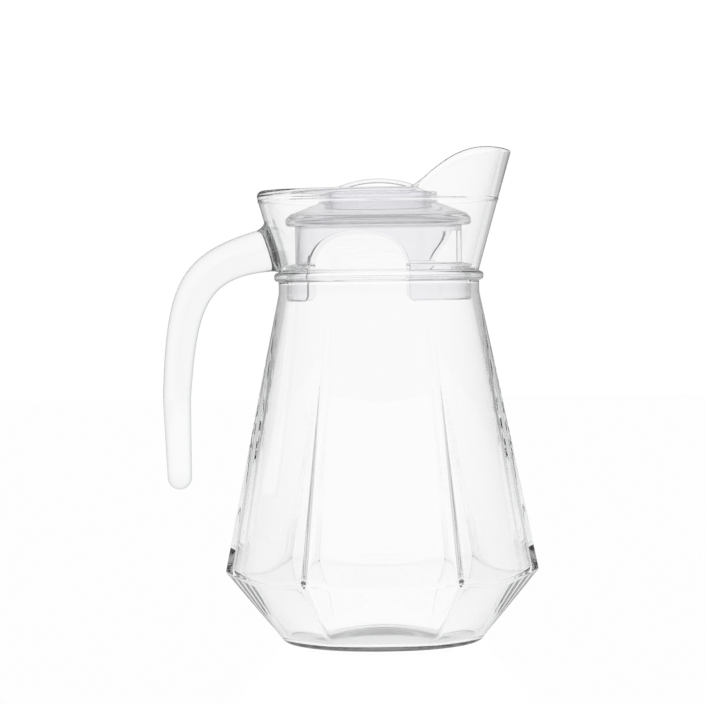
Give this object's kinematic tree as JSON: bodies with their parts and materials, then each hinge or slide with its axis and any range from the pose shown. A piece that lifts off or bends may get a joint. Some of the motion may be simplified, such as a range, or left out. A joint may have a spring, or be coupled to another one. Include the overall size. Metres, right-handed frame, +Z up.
{
  "type": "glass pitcher",
  "caption": "Faceted clear glass pitcher with a flared collar, raised spout and open-ended glass handle, and a push-in lid that turns to bring its pouring windows to the spout.",
  "frame": {"origin": "middle of the round base, on the surface that the jug stands on", "axes": "+Z up along the axis of the neck, +X towards the spout, -X towards the handle, +Y to the side"},
  "size_m": [0.1802, 0.1314, 0.2361],
  "materials": {
    "clear_glass": "clear, smooth, polished by fire",
    "lid_plastic": "see-through moulded plastic with a faint lavender-grey tint"
  },
  "bodies": {
    "jug": {"glass_body": "clear_glass", "glass_handle": "clear_glass"},
    "lid_cover": {"lid_cap": "lid_plastic"},
    "lid_core": {"lid_insert": "lid_plastic", "lid_grip": "lid_plastic"}
  },
  "joints": [
    {"name": "lid_lift", "type": "slide", "parent": "jug", "child": "lid_cover", "axis": [0, 0, 1], "range_m": [0, 0.09]},
    {"name": "lid_turn", "type": "hinge", "parent": "lid_cover", "child": "lid_core", "pos_m": [0, 0, 0.18], "axis": [0, 0, 1], "continuous": true}
  ]
}
